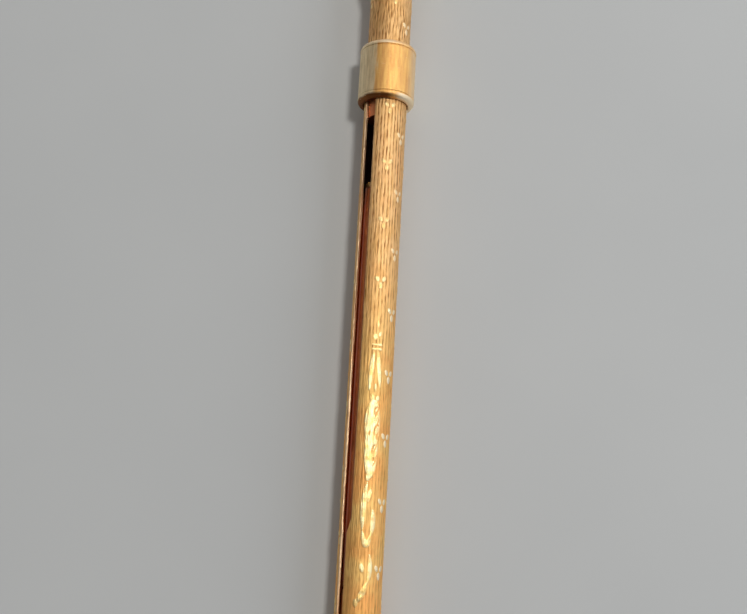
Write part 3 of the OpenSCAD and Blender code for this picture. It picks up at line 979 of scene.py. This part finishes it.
def make_nozzle():
    """The tapered nozzle, with turned grooves at the broad end of its cone."""
    tip, top = stations("nozzle")
    mouth, bore, wide, shank, stem, neck = 0.80, 0.85, 2.05, 1.70, 1.30, 0.99
    bore_low, wide_top, shank_top, stem_top = 6.2, 13.5, 19.8, 24.47
    corners = [
        (mouth, tip, 0.05), (0.98, tip, 0.07), (1.02 + 0.8 * 0.955, 9.6, 0.05), *groove_at(1.86, 9.95, 0.07),
        (wide, 12.0, 0.4), *groove_at(wide, 12.6, 0.07), *groove_at(wide, 13.0, 0.07),
        (wide, wide_top, 0.08), (shank, wide_top, 0), (shank, shank_top, 0.05), (stem, shank_top, 0),
        (stem, stem_top, 0), (neck, stem_top, 0), (neck, top, 0.03),
        (bore, top, 0.03), (bore, bore_low, 0), (mouth, bore_low, 0),
    ]
    dress(lathe("nozzle_turned", filleted(corners), 128), "nozzle")


GRIP_TEETH = 36


def serrations(angle, r, station):
    """Straight pointed teeth on the grip's outside."""
    phase = (angle * GRIP_TEETH / TAU) % 1
    return -0.13 * (r > 2.1) * (1 - np.abs(2 * phase - 1))


def make_nozzle_grip():
    """The grip ring, with straight teeth and chamfered ends."""
    low, high = stations("nozzle_grip")
    outer, inner = radius("nozzle_grip"), 1.73
    corners = [
        (inner, low, 0.03), (outer - 0.16, low, 0.03), (outer, low + 0.22, 0), (outer, high - 0.22, 0),
        (outer - 0.16, high, 0.03), (inner, high, 0.03),
    ]
    dress(lathe("grip_serrated", filleted(corners), 12 * GRIP_TEETH, serrations), "nozzle_grip")


def make_lead_sleeve():
    """The steel sleeve at the point, with softened rims."""
    low, high = stations("lead_sleeve")
    corners = [(0.60, low, 0.04), (0.77, low, 0.08), (0.77, high, 0.03), (0.60, high, 0.03)]
    dress(lathe("sleeve_turned", filleted(corners), 64), "lead_sleeve")


def make_nozzle_bush():
    """The bush with its rounded flange."""
    low, high = stations("nozzle_bush")
    outer = radius("nozzle_bush")
    corners = [
        (1.35, low, 0.05), (outer, low, 0.14), (outer, low + 0.60, 0), (1.89, low + 0.60, 0),
        (1.89, high, 0.04), (1.35, high, 0.04),
    ]
    dress(lathe("bush_turned", filleted(corners), 96), "nozzle_bush")


# Angle of the painted pink reflection along the carrier, seen through the slot.
PAINTED_REFLECTION_ANGLE = math.radians(-74)


def make_carrier_tube():
    """A drawn tube, not quite even, with faint lengthwise draw marks."""
    low, high = stations("carrier_tube")
    outer, inner = radius("carrier_tube"), 1.92
    rows = np.linspace(low, high, 110)

    def drawn(angle, r, station):
        swell = smooth_noise(21, r * np.sin(angle), station + r * np.cos(angle), 7.0)
        patches = np.clip(np.sin(3 * angle + station / 9), 0, 1)
        marks = np.cos(41 * angle + 0.6 * np.sin(station / 5)) * patches
        return (r > 2.0) * (0.006 * swell - 0.004 * np.abs(marks) - 0.006)

    outline = [(outer, st) for st in rows] + [(inner, high), (inner, low)]
    tube = lathe("carrier_drawn", outline, 192, drawn)
    place = np.array([v.co for v in tube.data.vertices]) / MM
    angle = np.arctan2(place[:, 0], place[:, 2])
    # Painted reflection along the slot's lower side, and painted shade nearer its upper edge.
    add_value(tube, "painted_highlight", np.exp(-((angle - PAINTED_REFLECTION_ANGLE) / 0.14) ** 2))
    add_value(tube, "shaded", np.clip((angle - PAINTED_REFLECTION_ANGLE - 0.10) / 0.15, 0, 1) * (angle < 0.2))
    dress(tube, "carrier_tube")


def make_lead():
    """A lead with a worn point."""
    low, high = stations("lead")
    r = radius("lead")

    def chips(angle, reach, station):
        return -0.012 * (reach > 0.3) * (1 + smooth_noise(31, reach * np.sin(angle) * 3, station * 2, 0.9))

    body = [(r, st) for st in np.linspace(low + 1.1, high - 0.1, 60)]
    point = [(0, low), (0.12, low + 0.01), (0.21, low + 0.08), (0.30, low + 0.28), (0.42, low + 0.60)]
    outline = point + body + [(r - 0.08, high), (0, high)]
    dress(lathe("lead_pointed", outline, 48, chips, closed=False), "lead")


dress(make_barrel(), "barrel")
make_slide_ring()
make_mouth_ferrule()
make_crown_socket()
make_crown_cap()
make_bail_post()
make_nozzle()
make_nozzle_grip()
make_lead_sleeve()
make_nozzle_bush()
make_carrier_tube()
make_lead()

for node_name, node_object in frame["nodes"].items():
    node_object.data.materials.clear()
    node_object.data.materials.append(BY_SLOT[SLOT_OF[node_name]])


# ---------------------------------------------------------------- floor and light

FLOOR_SLOPE = (RING_R - FERRULE_R) / (RING_LOW - FERRULE_LOW)
FLOOR_SIZE = 3000.0
FLOOR_GAP = 0.01
LAMP_DISTANCE = 0.6


def make_floor():
    """A plain pale floor that the ferrule and the ring both rest on."""
    half = FLOOR_SIZE / 2
    top = -FERRULE_R - FLOOR_GAP

    def corner(x, y):
        return (x, y, top - FLOOR_SLOPE * y)

    points = [corner(-half, -half), corner(half, -half), corner(half, half), corner(-half, half)]
    floor = mesh_object("floor", np.array(points), [(0, 1, 2, 3)])
    made, tree, shader = new_material("floor_paint")
    n = Nodes(tree)
    tint = n.noise(n.place(), 0.02, 3)
    n.link(n.ramp(tint, [(0.3, (0.57, 0.61, 0.65)), (0.7, (0.60, 0.64, 0.68))]), shader.inputs["Base Color"])
    shader.inputs["Roughness"].default_value = 0.75
    floor.data.materials.append(made)


def add_lamp(name, towards, size, radiance, colour):
    """A rectangular area lamp that faces the barrel's middle from a direction, as bright as radiance."""
    data = bpy.data.lights.new(name, "AREA")
    data.shape = "RECTANGLE"
    data.size, data.size_y = size
    data.energy = radiance * math.pi * size[0] * size[1]
    data.color = colour
    lamp = bpy.data.objects.new(name, data)
    bpy.context.scene.collection.objects.link(lamp)
    aim = Vector(towards).normalized()
    lamp.location = Vector((0, CAMERA_STATION, 0)) + aim * LAMP_DISTANCE
    lengthwise = (Vector((0, 1, 0)) - aim * aim.y).normalized()
    lamp.rotation_euler = Matrix((lengthwise.cross(aim), lengthwise, aim)).transposed().to_euler()
    lamp.visible_camera = False


def make_world():
    """A dim studio, paler low down and beyond the crown, and dark on the mouth's side."""
    world = bpy.data.worlds.new("studio")
    world.use_nodes = True
    n = Nodes(world.node_tree)
    place = n.add("ShaderNodeTexCoord")
    axes = n.add("ShaderNodeSeparateXYZ")
    n.link(place.outputs["Generated"], axes.inputs[0])
    rise_stops = [(0.0, (0.34, 0.30, 0.26)), (0.50, (0.30, 0.27, 0.24)), (0.80, (0.13, 0.12, 0.12))]
    rise = n.ramp(axes.outputs["Z"], rise_stops)
    towards_crown = n.maths("MULTIPLY_ADD", axes.outputs["Y"], 0.5, 0.5)
    side = n.ramp(towards_crown, [(0.10, 0.05), (0.35, 0.17), (0.72, 0.20), (0.94, 1.0)])
    sky = n.mix(1.0, rise, side, "MULTIPLY")
    background = world.node_tree.nodes["Background"]
    n.link(sky, background.inputs["Color"])
    background.inputs["Strength"].default_value = 2.3
    bpy.context.scene.world = world


def make_light():
    """A small warm key from the right, a soft panel above on the left, and a cool window low on the right."""
    make_world()
    add_lamp("key", (0.29, 0.20, 0.93), (0.09, 0.09), 51.0, (1.0, 0.94, 0.84))
    add_lamp("top", (-0.22, 0.18, 0.96), (0.50, 1.1), 0.34, (1.0, 0.95, 0.88))
    add_lamp("window", (0.88, 0.20, 0.44), (0.50, 1.1), 1.10, (0.95, 0.97, 1.0))


make_floor()
make_light()
bpy.context.scene.view_settings.view_transform = "Standard"

bpy.context.view_layer.update()
